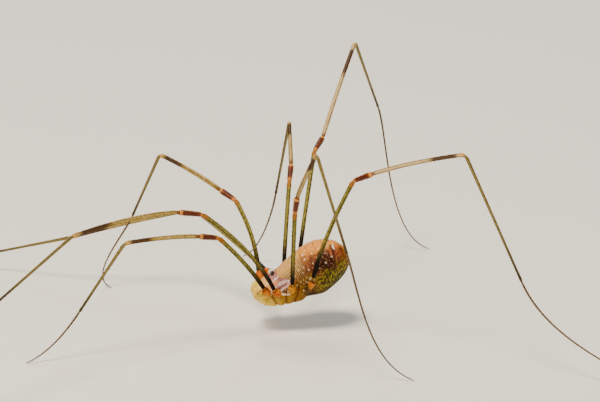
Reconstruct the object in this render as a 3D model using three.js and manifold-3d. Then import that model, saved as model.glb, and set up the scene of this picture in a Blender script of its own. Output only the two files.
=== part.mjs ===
// A harvestman at life size, standing on eight long legs. Millimetres, +Z up.
// The head points toward -X and the animal's left side toward -Y.
// The origin is on the floor, under the middle of the box round the feet.
import * as THREE from "three";
import { mergeVertices } from "three/addons/utils/BufferGeometryUtils.js";
import Module from "manifold-3d";

const wasm = await Module();
wasm.setup();

// Body: its middle stands this high over the floor, head down and leaning a little to the left.
const BODY_HEIGHT = 4.3;
const HEAD_DOWN = 19;
const LEAN_LEFT = 7;
// The body's middle lies this far from the middle of the feet, along +X and +Y.
const BODY_OFFSET = { x: 5.0, y: 0.0 };

// Gaps between neighbouring pieces, and the finer ones round the eyes and their mound.
const GAP = 0.25;
const MOUND_GAP = 0.12;
const EYE_GAP = 0.08;
// Points closer together than this are welded after joins and cuts.
const WELD = 0.0075;

// The body's outline in its own frame: place along the body, top, underside and half width there.
const STATIONS = [
  { x: -3.2, top: 0.34, bottom: -0.6, half: 0.75 },
  { x: -3.0, top: 0.6, bottom: -1.0, half: 1.1 },
  { x: -2.5, top: 0.82, bottom: -1.32, half: 1.38 },
  { x: -1.6, top: 1.02, bottom: -1.5, half: 1.56 },
  { x: -0.8, top: 1.36, bottom: -1.6, half: 1.64 },
  { x: 0.2, top: 1.8, bottom: -1.75, half: 1.85 },
  { x: 1.2, top: 2.03, bottom: -1.85, half: 2.22 },
  { x: 2.0, top: 2.07, bottom: -1.62, half: 2.15 },
  { x: 2.8, top: 1.88, bottom: -1.28, half: 1.85 },
  { x: 3.4, top: 1.52, bottom: -0.92, half: 1.42 },
  { x: 3.8, top: 1.08, bottom: -0.5, half: 0.9 },
  { x: 4.0, top: 0.68, bottom: -0.1, half: 0.35 },
];
const BODY_SIDES = 28;
const RINGS_PER_STATION = 4;

// Folds across the abdomen: where they start and end, how many there are, and how high they stand.
const FOLDS = { from: -0.2, to: 3.6, count: 6, height: 0.04 };

// The cut between the two parts of the body leans back toward the belly.
const WAIST = { x: 0.3, lean: 25 };

// The coxae are lobes of the body's sides and underside. They stand out by this height below the shelf
// angle, between the front and the rear place, and run together toward one place under the body.
const COXA = { height: 0.24, shelf: 24, meet: -2.2, gather: 0.5, front: -3.4, rear: 1.15, fade: 0.55 };
// The grooves between neighbouring coxae, along the body.
const GROOVES = { at: [-2.6, -1.57, -0.5], depth: 0.09, width: 0.17 };

// The eye mound and the two eyes on its sides.
const MOUND = { at: [-2.0, 0, 0.94], half: [0.36, 0.36, 0.34] };
const EYE = { side: 0.26, up: 0.1, radius: 0.16 };
const MOUND_TEETH = { pairs: 4, length: 0.15, radius: 0.06, side: 0.12 };

// Mouth claws and feelers, on the left side, mirrored for the right.
const CHELICERA = {
  path: [
    [-3.56, 0.44, 0.34],
    [-3.76, 0.44, 0.16],
    [-3.76, 0.44, -0.3],
    [-3.56, 0.42, -0.92],
  ],
  radii: [0.26, 0.31, 0.29, 0.13],
};
const PEDIPALP = {
  path: [
    [-3.42, 1.24, -0.1],
    [-3.66, 1.24, 0.02],
    [-3.84, 1.22, -0.34],
    [-3.58, 1.18, -0.96],
    [-3.06, 1.08, -1.5],
  ],
  radii: [0.22, 0.24, 0.25, 0.2, 0.11],
};

// The four pairs of legs: where the femur starts, and the lengths of the joints.
const PAIRS = {
  1: { hip: [-3.0, 1.65, 0.74], lengths: [6.2, 1.6, 5.8, 6.2] },
  2: { hip: [-2.3, 2.0, 0.5], lengths: [9.6, 2.1, 9.2, 9.2] },
  3: { hip: [-0.8, 2.1, 0.41], lengths: [6.8, 1.45, 5.2, 8.0] },
  4: { hip: [0.5, 2.0, 0.14], lengths: [9.2, 1.8, 8.3, 10.3] },
};
const TROCHANTER_RADIUS = 0.34;
// Radius at the base, in the middle and at the far end of each joint.
const JOINTS = [
  { name: "femur", radii: [0.27, 0.25, 0.28] },
  { name: "patella", radii: [0.27, 0.29, 0.3] },
  { name: "tibia", radii: [0.27, 0.26, 0.27] },
  { name: "metatarsus", radii: [0.26, 0.25, 0.25] },
];
const TARSUS_RADIUS = { base: 0.25, middle: 0.22, tip: 0.11 };
const LEG_SIDES = 8;

// The stance: for each joint its heading and its rise, in degrees, and the foot's place from the body's
// middle. A heading of 0 points to the head and a positive one to the animal's left. The femur and the
// tibia bow upward and to the left of their heading by these amounts. A slide moves the hip along the
// body, and a toe heading turns the tip of the foot away from its own path.
const STANCE = {
  l1: {
    joints: [[26, 49], [18, 11], [11, 0], [2, -56]],
    femur: [0.18, 0.0],
    tibia: [0.14, 0.0],
    foot: [-21.4, -5.8],
  },
  l2: {
    joints: [[28, 47], [25, 13], [28, -2], [47, -19]],
    femur: [0.52, 0.0],
    tibia: [0.3, 0.0],
    foot: [-34.0, -19.0],
  },
  l3: {
    joints: [[87, 69], [101, 69], [108, 51], [109, -53]],
    femur: [0.12, 0.0],
    tibia: [0.08, 0.0],
    foot: [6.5, -13.8],
    slide: -0.1,
  },
  l4: {
    joints: [[136, 66], [142, 25], [139, 18], [157, -65]],
    femur: [0.28, 0.0],
    tibia: [0.16, 0.0],
    foot: [24.0, -20.5],
    slide: 0.2,
  },
  r1: {
    joints: [[-71, 50], [-45, 21], [-32, 24], [-45, -62]],
    femur: [0.28, -0.22],
    tibia: [0.14, 0.0],
    foot: [-13.6, 12.8],
    slide: 0.12,
    toe: 160,
  },
  r2: {
    joints: [[-64, 14], [-31, -1], [-19, -16], [-37, -17]],
    femur: [0.1, 0.0],
    tibia: [0.1, 0.0],
    foot: [-34.0, 17.0],
  },
  r3: {
    joints: [[-104, 55], [-107, 52], [-96, 27], [-81, -61]],
    femur: [0.12, 0.0],
    tibia: [0.08, 0.0],
    foot: [-2.0, 20.5],
  },
  r4: {
    joints: [[-112, 56], [-122, 24], [-132, 56], [-114, -43]],
    femur: [0.12, 0.0],
    tibia: [0.12, 0.0],
    foot: [14.0, 20.5],
    slide: -0.2,
  },
};
const TOE_DROP = 20;

const COLOURS = {
  carapace: 0x9a7a6a,
  abdomen: 0xb07a55,
  mound: 0xe8dcc8,
  eye: 0x0a0808,
  mouth: 0xd9c27a,
  trochanter: 0xd9822b,
  femur: 0x7d6a3a,
  patella: 0x5a2e1a,
  tibia: 0xb8945a,
  metatarsus: 0x6e5236,
  tarsus: 0x8a7452,
};

const radians = THREE.MathUtils.degToRad;

// A unit vector from a heading and a rise.
function direction(heading, rise) {
  const h = radians(heading);
  const r = radians(rise);
  return new THREE.Vector3(-Math.cos(h) * Math.cos(r), -Math.sin(h) * Math.cos(r), Math.sin(r));
}

function material(colour, roughness = 0.6) {
  return new THREE.MeshStandardMaterial({ color: colour, roughness, metalness: 0 });
}

function piece(name, geometry, colour, roughness) {
  const mesh = new THREE.Mesh(geometry, material(colour, roughness));
  mesh.name = name;
  return mesh;
}

// Geometry to solid, for joins and cuts. Points closer together than the weld distance become one.
function solid(geometry, weld = 1e-4) {
  const bare = geometry.clone();
  bare.deleteAttribute("normal");
  bare.deleteAttribute("uv");
  const merged = mergeVertices(bare, weld);
  return new wasm.Manifold(
    new wasm.Mesh({
      numProp: 3,
      vertProperties: merged.attributes.position.array,
      triVerts: new Uint32Array(merged.index.array),
    }),
  );
}

// The surface of a solid's largest closed piece.
function surface(made) {
  const parts = made.decompose().sort((a, b) => b.volume() - a.volume());
  const mesh = parts[0].getMesh();
  const geometry = new THREE.BufferGeometry();
  geometry.setAttribute("position", new THREE.BufferAttribute(mesh.vertProperties, 3));
  geometry.setIndex(new THREE.BufferAttribute(mesh.triVerts, 1));
  geometry.computeVertexNormals();
  return geometry;
}

// The same with the slivers that joins and cuts leave welded shut.
const weldedSurface = (made) => surface(solid(surface(made), WELD));

function ellipsoid(at, half, wide = 14, high = 10) {
  const ball = new THREE.SphereGeometry(1, wide, high);
  ball.rotateX(Math.PI / 2);
  return ball.scale(...half).translate(...at);
}

// A round body of changing radius along a curve. The radii are spread evenly over the curve's length,
// with round ends. The side vector keeps the sections from twisting.
function limb(curve, radii, side, rings, sides = LEG_SIDES) {
  const length = curve.getLength();
  const radiusAt = (t) => {
    const place = t * (radii.length - 1);
    const i = Math.min(Math.floor(place), radii.length - 2);
    return THREE.MathUtils.lerp(radii[i], radii[i + 1], place - i);
  };
  const profile = [new THREE.Vector2(0, 0)];
  const roundEnd = (radius, turn) => {
    const a = radians(turn);
    return { r: radius * Math.sin(a), y: (radius * (1 - Math.cos(a))) / length };
  };
  for (const turn of [45, 90]) {
    const p = roundEnd(radii[0], turn);
    profile.push(new THREE.Vector2(p.r, p.y));
  }
  const first = radii[0] / length;
  const last = 1 - radii[radii.length - 1] / length;
  for (let i = 1; i < rings; i++) {
    const t = THREE.MathUtils.lerp(first, last, i / rings);
    profile.push(new THREE.Vector2(radiusAt(t), t));
  }
  for (const turn of [90, 45]) {
    const p = roundEnd(radii[radii.length - 1], turn);
    profile.push(new THREE.Vector2(p.r, 1 - p.y));
  }
  profile.push(new THREE.Vector2(0, 1));
  const geometry = new THREE.LatheGeometry(profile, sides);
  const place = geometry.getAttribute("position");
  for (let i = 0; i < place.count; i++) {
    const t = THREE.MathUtils.clamp(place.getY(i), 0, 1);
    const along = curve.getTangentAt(t);
    const up = side.clone().cross(along).normalize();
    const across = along.clone().cross(up);
    const point = curve.getPointAt(t);
    point.addScaledVector(across, place.getX(i)).addScaledVector(up, place.getZ(i));
    place.setXYZ(i, point.x, point.y, point.z);
  }
  return geometry;
}

// How far a joint's round end stays back from the knee, so that two of them keep the gap at any bend.
function kneeGap(radius, before, after) {
  const open = Math.PI - before.angleTo(after);
  return (radius + GAP / 2) / Math.sin(open / 2) - radius;
}

// The body's outline at one place along it, smooth between the stations.
const outline = Object.fromEntries(
  ["top", "bottom", "half"].map((key) => [
    key,
    new THREE.SplineCurve(STATIONS.map((s) => new THREE.Vector2(s.x, s[key]))),
  ]),
);

function foldAt(x) {
  if (x < FOLDS.from || x > FOLDS.to) return 0;
  const turn = ((x - FOLDS.from) / (FOLDS.to - FOLDS.from)) * FOLDS.count;
  return FOLDS.height * Math.abs(Math.sin(turn * Math.PI));
}

// How far the coxae stand out at a place along the body and an angle round it. Zero is a side.
function coxaAt(x, angle) {
  const below = (radians(COXA.shelf) - Math.asin(Math.sin(angle))) / radians(30);
  const down = THREE.MathUtils.clamp(below, 0, 1);
  const under = Math.max(0, -Math.sin(angle));
  const spread = 1 - (1 - COXA.gather) * under;
  const outer = COXA.meet + (x - COXA.meet) / spread;
  const front = THREE.MathUtils.smoothstep(outer, COXA.front, COXA.front + COXA.fade);
  const rear = 1 - THREE.MathUtils.smoothstep(outer, COXA.rear - COXA.fade, COXA.rear);
  const groove = Math.max(...GROOVES.at.map((at) => Math.exp(-(((outer - at) / GROOVES.width) ** 2))));
  return down * (COXA.height * front * rear - GROOVES.depth * groove);
}

// The whole body as one closed loft of oval rings, closed by a point at each end.
function bodyLoft() {
  const ringCount = (STATIONS.length - 1) * RINGS_PER_STATION;
  const points = [];
  const middles = [];
  for (let i = 0; i <= ringCount; i++) {
    const t = i / ringCount;
    const top = outline.top.getPoint(t);
    const bottom = outline.bottom.getPoint(t).y;
    const half = outline.half.getPoint(t).y;
    const middle = (top.y + bottom) / 2;
    const tall = (top.y - bottom) / 2;
    middles.push([top.x, 0, middle]);
    for (let k = 0; k < BODY_SIDES; k++) {
      const a = (k / BODY_SIDES) * 2 * Math.PI;
      const swell = 1 + (foldAt(top.x) * Math.max(0, Math.sin(a)) + coxaAt(top.x, a)) / tall;
      points.push(top.x, Math.cos(a) * half * swell, middle + Math.sin(a) * tall * swell);
    }
  }
  const front = points.length / 3;
  points.push(STATIONS[0].x - 0.12, 0, middles[0][2]);
  points.push(STATIONS[STATIONS.length - 1].x + 0.06, 0, middles[ringCount][2]);
  const faces = [];
  for (let k = 0; k < BODY_SIDES; k++) {
    const next = (k + 1) % BODY_SIDES;
    faces.push(front, next, k);
    for (let i = 0; i < ringCount; i++) {
      const a = i * BODY_SIDES;
      const b = a + BODY_SIDES;
      faces.push(a + k, a + next, b + k, a + next, b + next, b + k);
    }
    const last = ringCount * BODY_SIDES;
    faces.push(last + k, last + next, front + 1);
  }
  const geometry = new THREE.BufferGeometry();
  geometry.setAttribute("position", new THREE.Float32BufferAttribute(points, 3));
  geometry.setIndex(faces);
  return geometry;
}

// The space in front of the waist cut, or behind it.
function beyondWaist(sign) {
  const size = 12;
  const block = new THREE.BoxGeometry(size, size, size);
  block.translate((sign * (size + GAP)) / 2, 0, 0);
  block.rotateY(radians(-WAIST.lean));
  return solid(block.translate(WAIST.x, 0, 0));
}

const model = new THREE.Group();
const body = new THREE.Group();
body.position.set(BODY_OFFSET.x, BODY_OFFSET.y, BODY_HEIGHT);
body.rotation.set(radians(LEAN_LEFT), radians(-HEAD_DOWN), 0, "YXZ");
model.add(body);
model.updateMatrixWorld(true);

// Each leg's joints in the model's frame, and its coxa in the body's frame.
const legs = Object.entries(STANCE).map(([name, stance]) => {
  const side = name[0] === "l" ? -1 : 1;
  const pair = PAIRS[name[1]];
  const mirror = ([x, y, z]) => new THREE.Vector3(x + (stance.slide ?? 0), y * side, z);
  const ends = [body.localToWorld(mirror(pair.hip))];
  const headings = stance.joints.map(([heading, rise]) => direction(heading, rise));
  headings.forEach((way, i) => {
    ends.push(ends[i].clone().addScaledVector(way, pair.lengths[i]));
  });
  const knob = ends[0].clone().addScaledVector(headings[0], -(TROCHANTER_RADIUS + GAP / 2));
  const knobInBody = body.worldToLocal(knob.clone());
  const foot = new THREE.Vector3(stance.foot[0] + BODY_OFFSET.x, stance.foot[1] + BODY_OFFSET.y, 0);
  return { name, stance, pair, ends, headings, knob, knobInBody, foot };
});

// The room that a trochanter and the foot of its femur take out of the body.
function hipRoom(leg) {
  const room = TROCHANTER_RADIUS + GAP;
  const ball = ellipsoid(leg.knobInBody.toArray(), [room, room, room], 10, 8);
  const out = body.worldToLocal(leg.ends[0].clone().addScaledVector(leg.headings[0], 2.5));
  const line = new THREE.LineCurve3(leg.knobInBody, out);
  const radius = JOINTS[0].radii[0] + GAP + 0.1;
  return solid(ball).add(solid(limb(line, [radius, radius], new THREE.Vector3(1, 0, 0), 2)));
}

function mouthPart(spec, side, extra = 0) {
  const points = spec.path.map(([x, y, z]) => new THREE.Vector3(x, y * side, z));
  const radii = spec.radii.map((r) => r + extra);
  return limb(new THREE.CatmullRomCurve3(points), radii, new THREE.Vector3(0, 1, 0), 10);
}

const rooms = legs.map(hipRoom).reduce((a, b) => a.add(b));
const whole = solid(bodyLoft());
const moundRoom = solid(
  ellipsoid(MOUND.at, MOUND.half.map((h) => h + MOUND_GAP)),
);

// The front part of the body carries the coxae, the mouth parts and the eye mound.
const prosoma = whole.intersect(beyondWaist(-1)).subtract(moundRoom).subtract(rooms);
body.add(piece("prosoma", weldedSurface(prosoma), COLOURS.carapace, 0.5));

const abdomen = whole.intersect(beyondWaist(1)).subtract(rooms);
body.add(piece("abdomen", weldedSurface(abdomen), COLOURS.abdomen, 0.6));

// Eye mound with two rows of small teeth, and the eyes in its sides.
const eyePlace = (side) => [MOUND.at[0], side * EYE.side, MOUND.at[2] + EYE.up];
const eyeBall = (side, radius) => ellipsoid(eyePlace(side), [radius, radius, radius], 12, 8);

function moundTooth(side, k) {
  const along = MOUND.at[0] + MOUND.half[0] * THREE.MathUtils.lerp(-0.6, 0.6, k / (MOUND_TEETH.pairs - 1));
  const tooth = new THREE.ConeGeometry(MOUND_TEETH.radius, MOUND_TEETH.length, 6);
  tooth.rotateX(Math.PI / 2);
  const share = (along - MOUND.at[0]) / MOUND.half[0];
  const flank = (side * MOUND_TEETH.side) / MOUND.half[1];
  const rise = MOUND.half[2] * Math.sqrt(1 - share * share - flank * flank);
  return solid(tooth.translate(along, side * MOUND_TEETH.side, MOUND.at[2] + rise));
}

let mound = solid(ellipsoid(MOUND.at, MOUND.half, 18, 12));
for (const side of [-1, 1]) {
  for (let k = 0; k < MOUND_TEETH.pairs; k++) mound = mound.add(moundTooth(side, k));
}
for (const side of [-1, 1]) mound = mound.subtract(solid(eyeBall(side, EYE.radius + EYE_GAP)));
body.add(piece("eye_mound", weldedSurface(mound), COLOURS.mound, 0.4));
body.add(piece("eye_left", eyeBall(-1, EYE.radius), COLOURS.eye, 0.05));
body.add(piece("eye_right", eyeBall(1, EYE.radius), COLOURS.eye, 0.05));

for (const [side, word] of [[-1, "left"], [1, "right"]]) {
  body.add(piece(`chelicera_${word}`, mouthPart(CHELICERA, side), COLOURS.mouth));
  body.add(piece(`pedipalp_${word}`, mouthPart(PEDIPALP, side), COLOURS.mouth));
}

// The last joint bends down from the metatarsus to the foot, and is cut to a small flat at the floor.
function tarsus(leg) {
  const start = leg.ends[4].clone().addScaledVector(leg.headings[3], GAP / 2);
  const reach = leg.foot.distanceTo(start);
  const path = leg.foot.clone().sub(start);
  const level = leg.stance.toe === undefined
    ? new THREE.Vector3(path.x, path.y, 0).normalize()
    : direction(leg.stance.toe, 0);
  const drop = radians(TOE_DROP);
  const landing = level.multiplyScalar(Math.cos(drop)).setZ(-Math.sin(drop));
  const curve = new THREE.CubicBezierCurve3(
    start,
    start.clone().addScaledVector(leg.headings[3], reach / 3),
    leg.foot.clone().addScaledVector(landing, -reach / 3),
    leg.foot,
  );
  const heading = radians(leg.stance.joints[3][0]);
  const side = new THREE.Vector3(Math.sin(heading), -Math.cos(heading), 0);
  const radii = [TARSUS_RADIUS.base, TARSUS_RADIUS.middle, TARSUS_RADIUS.tip];
  const floor = new THREE.BoxGeometry(2, 2, 2).translate(leg.foot.x, leg.foot.y, -1);
  return surface(solid(limb(curve, radii, side, 12)).subtract(solid(floor)));
}

// A line of this length along +Z, bowed toward +Y and +X. Most of the bend is in its first half.
function bowedLine(length, [up, aside]) {
  return new THREE.QuadraticBezierCurve3(
    new THREE.Vector3(),
    new THREE.Vector3(2 * aside, 2 * up, 0.42 * length),
    new THREE.Vector3(0, 0, length),
  );
}

for (const leg of legs) {
  const group = new THREE.Group();
  const knob = new THREE.SphereGeometry(TROCHANTER_RADIUS, 10, 8);
  const knobPiece = piece(`leg_${leg.name}_trochanter`, knob, COLOURS.trochanter, 0.4);
  knobPiece.position.copy(leg.knob);
  group.add(knobPiece);
  JOINTS.forEach((joint, i) => {
    const way = leg.headings[i];
    const wide = joint.radii[2];
    const back = i === 0 ? GAP / 2 : kneeGap(wide, leg.headings[i - 1], way);
    const front = i === 3 ? GAP / 2 : kneeGap(wide, way, leg.headings[i + 1]);
    const length = leg.pair.lengths[i] - back - front;
    const bow = leg.stance[joint.name];
    const line = bowedLine(length, bow ?? [0, 0]);
    const form = limb(line, joint.radii, new THREE.Vector3(1, 0, 0), bow ? 8 : 4);
    const made = piece(`leg_${leg.name}_${joint.name}`, form, COLOURS[joint.name]);
    const heading = radians(leg.stance.joints[i][0]);
    const aside = new THREE.Vector3(Math.sin(heading), -Math.cos(heading), 0);
    const up = way.clone().cross(aside);
    made.position.copy(leg.ends[i]).addScaledVector(way, back);
    made.quaternion.setFromRotationMatrix(new THREE.Matrix4().makeBasis(aside, up, way));
    group.add(made);
  });
  group.add(piece(`leg_${leg.name}_tarsus`, tarsus(leg), COLOURS.tarsus));
  model.add(group);
}

export default model;
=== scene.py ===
import math

import bpy
import numpy as np
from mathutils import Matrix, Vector


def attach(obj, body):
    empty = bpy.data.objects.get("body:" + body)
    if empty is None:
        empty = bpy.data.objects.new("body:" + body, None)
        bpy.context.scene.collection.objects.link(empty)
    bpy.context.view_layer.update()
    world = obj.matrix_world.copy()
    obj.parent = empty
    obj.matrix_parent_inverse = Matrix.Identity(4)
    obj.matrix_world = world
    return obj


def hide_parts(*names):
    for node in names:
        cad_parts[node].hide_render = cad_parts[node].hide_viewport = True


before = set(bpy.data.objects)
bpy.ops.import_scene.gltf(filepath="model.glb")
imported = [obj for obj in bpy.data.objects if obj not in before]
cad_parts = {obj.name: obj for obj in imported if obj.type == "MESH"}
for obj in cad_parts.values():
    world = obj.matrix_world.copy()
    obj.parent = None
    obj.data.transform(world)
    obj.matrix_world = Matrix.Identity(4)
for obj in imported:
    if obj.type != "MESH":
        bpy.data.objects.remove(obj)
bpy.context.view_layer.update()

# Sizes are in millimetres, and meshes are scaled to metres as they are made.
MM = 0.001
RANDOM = np.random.default_rng(7)

# Where the body's middle stands, and how it leans: head down, and a little to its left.
BODY_AT = np.array([5.0, 0.0, 4.3])
HEAD_DOWN = 19
LEAN_LEFT = 7

# The photograph's camera: its rise and its turn toward the head, in degrees, and where it sees the body.
IMAGE = {"wide": 600, "high": 402}
CAMERA = {"rise": 15, "turn": 8, "distance": 220, "focal_px": 2860, "body_px": (300, 275)}
SENSOR = 36
NEAREST_SEEN = 0.01

# Soft round lights, in metres and watts, that all point at the same place.
LIT_PLACE = (0.004, 0.0, 0.006)
LIGHTS = {
    "key": {"at": (-0.1, -0.15, 0.36), "size": 0.13, "power": 2.5, "colour": "ffeed6"},
    "fill": {"at": (0.34, -0.26, 0.12), "size": 0.26, "power": 0.25, "colour": "eef2ff"},
    "rim": {"at": (0.02, 0.34, 0.3), "size": 0.2, "power": 1.1, "colour": "fff8ee"},
}
ROOM = {"colour": "e6e8e6", "strength": 0.16}
# How deep red, green and blue light reach into the skin.
LIGHT_REACH = (0.3, 0.15, 0.08)
FLOOR = {"half": 3000, "steps": 12, "colour": "f4f4f0"}

# Outline of the body, from its front to its rear: place along it, top, bottom and half width.
STATIONS = np.array([
    (-3.2, 0.34, -0.6, 0.75),
    (-3.0, 0.6, -1.0, 1.1),
    (-2.5, 0.82, -1.32, 1.38),
    (-1.6, 1.02, -1.5, 1.56),
    (-0.8, 1.36, -1.6, 1.64),
    (0.2, 1.8, -1.75, 1.85),
    (1.2, 2.03, -1.85, 2.22),
    (2.0, 2.07, -1.62, 2.15),
    (2.8, 1.88, -1.28, 1.85),
    (3.4, 1.52, -0.92, 1.42),
    (3.8, 1.08, -0.5, 0.9),
    (4.0, 0.68, -0.1, 0.35),
])
NOSE = 0.12
TAIL = 0.06
BODY_SIDES = 360
# Shares of the way along the body and how many rings they get: they stand closest at the pleats.
BODY_RINGS = ((0.0, 0.27, 44), (0.27, 0.46, 96), (0.46, 1.0, 118))
FOLDS = {"start": -0.2, "end": 3.6, "count": 6, "height": 0.04}
# The coxae stand out below a shelf, given in degrees above the middle, and blend into it. Underneath they
# gather toward the place where they meet.
COXA = {"height": 0.24, "shelf": 24, "blend": 30, "meet": -2.2, "gather": 0.5}
COXA_ENDS = {"front": -3.4, "rear": 1.15, "fade": 0.55}
GROOVES = {"at": (-2.6, -1.57, -0.5), "width": 0.11, "hollow": 0.3}

# Widths of one pleat behind the shield and of one fine wrinkle farther back.
PLEAT = 0.125
WRINKLE = 0.16
# How far each kind of form stands out of the skin, or sinks into it.
RELIEF = {
    "pleat": 0.034, "wrinkle": 0.008, "seam": -0.016, "lump": 0.045, "crease": -0.04, "rim": 0.06,
    "band": -0.05, "groove": -0.09, "hollow": -0.03, "knob": 0.07, "dot": 0.02, "arc": 0.02, "dark": -0.02,
}
# The shield's rear border and how far it shifts toward the rear at the sides, and the side angles of its
# rim and of the sunk band below it.
SHIELD = {"border": -1.68, "shift": 0.75, "rim": 70, "band": 80}

# Pale dots of the flank: place along the body, side angle and size.
DOTS = (
    (0.66, 20, 1.5), (1.35, 28, 1.0), (0.68, 34, 1.2), (-0.14, 37, 0.9), (-0.04, 51, 1.1), (0.39, 51, 0.8),
    (0.69, 60, 1.1), (2.09, 62, 1.3), (2.69, 54, 1.2), (1.95, 22, 0.9), (2.6, 20, 0.8), (0.1, 14, 0.9),
    (-0.5, 24, 0.8), (1.3, 8, 0.8), (1.15, 50, 0.8), (-0.6, 46, 0.9), (2.3, 40, 0.7), (1.6, 44, 0.8),
    (0.2, 62, 0.7), (-0.45, 60, 0.7), (1.5, 66, 0.7), (0.95, 10, 0.8), (-0.9, 38, 0.6), (-0.85, 56, 0.6),
    (-1.86, 86, 1.1), (-1.74, 90, 1.3), (-1.6, 92, 1.0), (-1.44, 94, 1.3), (-1.3, 96, 1.1), (-1.36, 88, 0.8),
    (-0.2, 102, 0.9), (0.3, 86, 0.5), (0.62, 78, 0.6),
)
# Half size of a dot of size 1: along the body, and round it in degrees.
DOT_SIZE = (0.043, 1.6)
# Rows of small pale glints, painted highlights: the start, end and step of the rows along the body, the
# first and last side angle and the count of glints in a row, a glint's half size, and its degrees round for
# each mm along.
PAINTED_GLINTS = {"rows": (-0.3, 3.5, 0.3), "sides": (4, 72, 15), "size": 0.03, "round": 46}

# The mound's skin stays inside its solid, and its teeth stand in two rows between the eyes.
MOUND = {"at": (-2.02, 0, 1.04), "half": (0.25, 0.24, 0.25)}
MOUND_FOOT = {"drop": 0.24, "half": (0.3, 0.28, 0.22)}
TEETH = {"count": 6, "side": 0.1, "reach": 0.75, "length": 0.06, "radius": 0.035}
# The right eye, mirrored for the left.
EYE = {"at": (-1.97, 0.2184, 1.11), "radius": 0.16}

# Middle lines of the right mouth claw and the right feeler with their radii, mirrored for the left.
CHELICERA = {
    "line": (
        (-3.0, 0.4, 0.14), (-3.42, 0.44, 0.26), (-3.66, 0.45, 0.1),
        (-3.68, 0.45, -0.24), (-3.42, 0.42, -0.68),
    ),
    "radii": (
        (0, 0.2), (0.15, 0.29), (0.38, 0.3), (0.46, 0.25),
        (0.56, 0.29), (0.8, 0.23), (0.92, 0.14), (1, 0.06),
    ),
    "count": 40,
}
PEDIPALP = {
    "line": (
        (-2.8, 1.05, -0.3), (-3.24, 1.16, 0.02), (-3.52, 1.2, -0.12),
        (-3.36, 1.16, -0.38), (-3.02, 1.08, -0.68), (-2.66, 0.98, -0.98), (-2.3, 0.88, -1.2),
    ),
    "radii": (
        (0, 0.2), (0.18, 0.29), (0.3, 0.3), (0.37, 0.25), (0.45, 0.29), (0.6, 0.33),
        (0.67, 0.29), (0.76, 0.3), (0.9, 0.22), (0.96, 0.12), (1, 0.06),
    ),
    "count": 60,
}
MOUTH_SIDES = 28
MOUTH_HAIRS = {"count": 60, "length": (0.06, 0.1), "radius": 0.009, "lean": 1.1}

# The four pairs of legs: where the right femur starts, and the lengths of the joints. Dark is how far the
# femur's black base reaches.
PAIRS = {
    "1": {"hip": (-3.0, 1.65, 0.74), "lengths": (6.2, 1.6, 5.8, 6.2), "thick": 1.0, "dark": 1.0},
    "2": {"hip": (-2.3, 2.0, 0.5), "lengths": (9.6, 2.1, 9.2, 9.2), "thick": 0.95, "dark": 1.7},
    "3": {"hip": (-0.8, 2.1, 0.41), "lengths": (6.8, 1.45, 5.2, 8.0), "thick": 1.0, "dark": 0.9},
    "4": {"hip": (0.5, 2.0, 0.14), "lengths": (9.2, 1.8, 8.3, 10.3), "thick": 0.97, "dark": 2.0},
}
TROCHANTER = 0.34
JOINT_NAMES = ("trochanter", "femur", "patella", "tibia", "metatarsus", "tarsus")

# For each joint its heading and its rise in degrees and how far it bows upward, and the foot's place from
# the body's middle. Aside is how far the femur bows to its left, a slide moves the hip along the body, and
# a toe heading turns the tip of the foot away from its own path.
STANCE = {
    "l1": {
        "joints": ((26, 49), (18, 11), (11, 0), (2, -56)),
        "bows": (0.18, 0, 0.14, 0), "foot": (-21.4, -5.8),
    },
    "l2": {
        "joints": ((28, 47), (25, 13), (28, -2), (47, -19)),
        "bows": (0.52, 0, 0.3, 0), "foot": (-34.0, -19.0),
    },
    "l3": {
        "joints": ((87, 69), (101, 69), (108, 51), (109, -53)),
        "bows": (0.12, 0, 0.08, 0), "foot": (6.5, -13.8), "slide": -0.1,
    },
    "l4": {
        "joints": ((136, 66), (142, 25), (139, 18), (157, -65)),
        "bows": (0.28, 0, 0.16, 0), "foot": (24.0, -20.5), "slide": 0.2,
    },
    "r1": {
        "joints": ((-71, 50), (-45, 21), (-32, 24), (-45, -62)),
        "bows": (0.28, 0, 0.14, 0), "aside": -0.22, "foot": (-13.6, 12.8), "slide": 0.12, "toe": 160,
    },
    "r2": {
        "joints": ((-64, 14), (-31, -1), (-19, -16), (-37, -17)),
        "bows": (0.1, 0, 0.1, 0), "foot": (-34.0, 17.0),
    },
    "r3": {
        "joints": ((-104, 55), (-107, 52), (-96, 27), (-81, -61)),
        "bows": (0.12, 0, 0.08, 0), "foot": (-2.0, 20.5),
    },
    "r4": {
        "joints": ((-112, 56), (-122, 24), (-132, 56), (-114, -43)),
        "bows": (0.12, 0, 0.12, 0), "foot": (14.0, 20.5), "slide": -0.2,
    },
}
TOE_DROP = 20
FOOT_HEIGHT = 0.03
LEG_SIDES = 18
LEG_STEP = 0.075
# How far from a knee the bend between its two joints starts, and from the ankle the foot's curve.
KNEE = 0.34
ANKLE = 0.05
# How many points the middle line has in a joint, in a bend and in the foot.
LINE_POINTS = {"joint": 61, "bend": 7, "foot": 60}
# Where along a joint the handle of its bow lies, and how deep the four ridges and the foot's rings are, as
# shares of the radius.
BOW_PLACE = 0.42
RIDGE = 0.035
FOOT_RINGS = {"step": 0.3, "depth": 0.06}

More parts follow.
